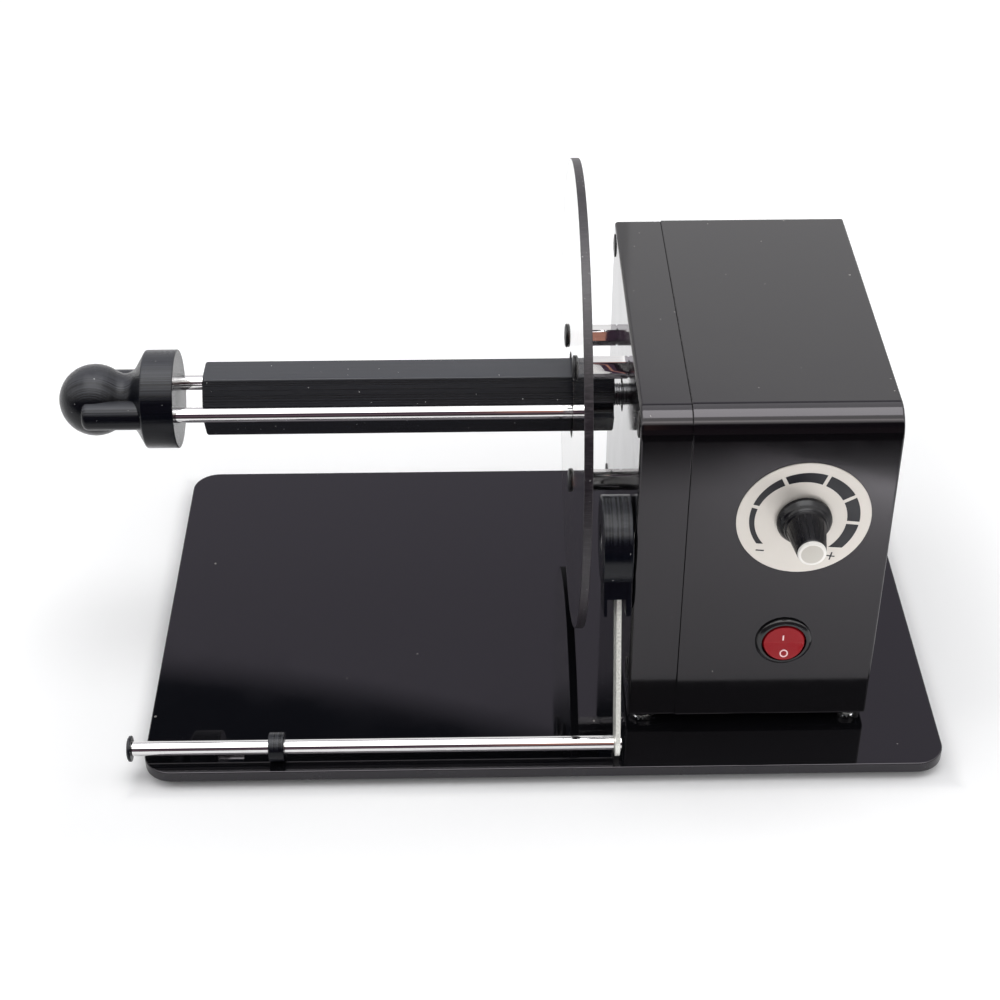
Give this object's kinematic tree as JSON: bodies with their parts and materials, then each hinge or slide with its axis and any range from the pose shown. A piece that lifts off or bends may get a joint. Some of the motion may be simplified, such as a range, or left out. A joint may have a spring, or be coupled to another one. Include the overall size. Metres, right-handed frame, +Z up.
{
  "type": "label rewinder",
  "caption": "Desk label rewinder: a motor box turns a hexagonal winding core beside a clear guide disc, with a pull-out fork and a swinging tension bar.",
  "frame": {"origin": "middle of the whole outline seen from above, on the surface that the feet stand on", "axes": "+X runs right along the spindle from the handle to the motor box, +Y runs back from the knob's side, +Z is up"},
  "size_m": [0.3666, 0.2105, 0.2155],
  "materials": {
    "gloss_black": "gloss",
    "satin_black": "satin",
    "printed_black": "matte",
    "black_steel": "satin",
    "black_rubber": "matte",
    "clear_acrylic": "gloss",
    "clear_washer": "gloss",
    "chrome_steel": "gloss",
    "zinc_steel": "satin",
    "bearing_steel": "gloss",
    "aluminium_part": "satin",
    "brass_gear": "satin",
    "bronze_bush": "satin",
    "dark_magnet": "matte",
    "dial_white": "satin",
    "cap_white": "satin",
    "rocker_red": "gloss",
    "board_green": "satin",
    "terminal_green": "satin",
    "can_sleeve": "satin",
    "wire_red": "satin",
    "copper_rotor": "satin"
  },
  "bodies": {
    "case": {"base_plate": "gloss_black", "rubber_feet": "black_rubber", "case_spacers": "clear_washer", "base_screws": "black_steel", "case_left_shell": "satin_black", "case_right_shell": "satin_black", "case_screws": "black_steel", "guide_disc": "clear_acrylic", "disc_standoffs": "chrome_steel", "disc_screws": "black_steel", "inside_screws": "zinc_steel", "bearing_outer_ring": "bearing_steel", "gearbox_face_plate": "zinc_steel", "gearbox_ring": "zinc_steel", "gear_pins": "bearing_steel", "motor_magnets": "dark_magnet", "motor_can": "zinc_steel", "motor_end_cap": "satin_black", "motor_plate": "zinc_steel", "motor_pillars": "zinc_steel", "pivot_bush": "bronze_bush", "slot_sensor": "satin_black", "dial_plate": "dial_white", "pot_body": "zinc_steel", "pot_nut": "zinc_steel", "switch_body": "satin_black", "control_board": "board_green", "board_capacitor": "can_sleeve", "board_heat_sink": "aluminium_part", "board_terminals": "terminal_green", "power_socket": "satin_black", "power_socket_nut": "zinc_steel", "inside_wires": "wire_red"},
    "spindle": {"winding_core": "printed_black", "spindle_shaft": "black_steel", "bearing_inner_ring": "bearing_steel", "shaft_coupling": "aluminium_part", "coupling_screws": "black_steel", "output_shaft": "bearing_steel", "output_gear": "brass_gear"},
    "fork": {"fork_handle": "printed_black", "fork_rods": "chrome_steel"},
    "ball_set": {"bearing_balls": "bearing_steel"},
    "near_gear": {"double_gear_near": "brass_gear"},
    "far_gear": {"double_gear_far": "brass_gear"},
    "rotor": {"motor_pinion": "brass_gear", "motor_rotor": "copper_rotor"},
    "arm": {"arm_hub": "printed_black", "arm_strip": "zinc_steel", "hub_screws": "black_steel", "tension_bar": "chrome_steel", "bar_end_cap": "printed_black", "arm_pivot_shaft": "zinc_steel", "sensor_flag": "printed_black"},
    "ring": {"guide_ring": "printed_black"},
    "knob": {"speed_knob": "satin_black", "knob_cap": "cap_white", "pot_shaft": "aluminium_part"},
    "rocker": {"switch_rocker": "rocker_red"}
  },
  "joints": [
    {"name": "spindle_spin", "type": "hinge", "parent": "case", "child": "spindle", "pos_m": [0, 0.00675, 0.117], "axis": [1, 0, 0], "continuous": true},
    {"name": "ball_set_spin", "type": "hinge", "parent": "case", "child": "ball_set", "pos_m": [0, 0.00675, 0.117], "axis": [1, 0, 0], "continuous": true},
    {"name": "near_gear_spin", "type": "hinge", "parent": "case", "child": "near_gear", "pos_m": [0, 0.01569, 0.1135], "axis": [1, 0, 0], "continuous": true},
    {"name": "far_gear_spin", "type": "hinge", "parent": "case", "child": "far_gear", "pos_m": [0, 0.01425, 0.10401], "axis": [1, 0, 0], "continuous": true},
    {"name": "rotor_spin", "type": "hinge", "parent": "case", "child": "rotor", "pos_m": [0, 0.00675, 0.11], "axis": [1, 0, 0], "continuous": true},
    {"name": "fork_pull", "type": "slide", "parent": "spindle", "child": "fork", "axis": [-1, 0, 0], "range_m": [-0.011, 0.15]},
    {"name": "arm_swing", "type": "hinge", "parent": "case", "child": "arm", "pos_m": [0, -0.06525, 0.095], "axis": [-1, 0, 0], "range_deg": [0, 60]},
    {"name": "ring_slide", "type": "slide", "parent": "arm", "child": "ring", "axis": [1, 0, 0], "range_m": [-0.052, 0.128]},
    {"name": "knob_turn", "type": "hinge", "parent": "case", "child": "knob", "pos_m": [0.11832, -0.07875, 0.1147], "axis": [0, -1, 0], "range_deg": [-150, 150]},
    {"name": "switch_rock", "type": "hinge", "parent": "case", "child": "rocker", "pos_m": [0.11563, -0.07735, 0.0526], "axis": [1, 0, 0], "range_deg": [0, 14]}
  ],
  "couplings": [
    {"joint": "ball_set_spin", "follows": "spindle_spin", "ratio": 0.392},
    {"joint": "near_gear_spin", "follows": "spindle_spin", "ratio": -3},
    {"joint": "far_gear_spin", "follows": "spindle_spin", "ratio": 9},
    {"joint": "rotor_spin", "follows": "spindle_spin", "ratio": -27}
  ]
}
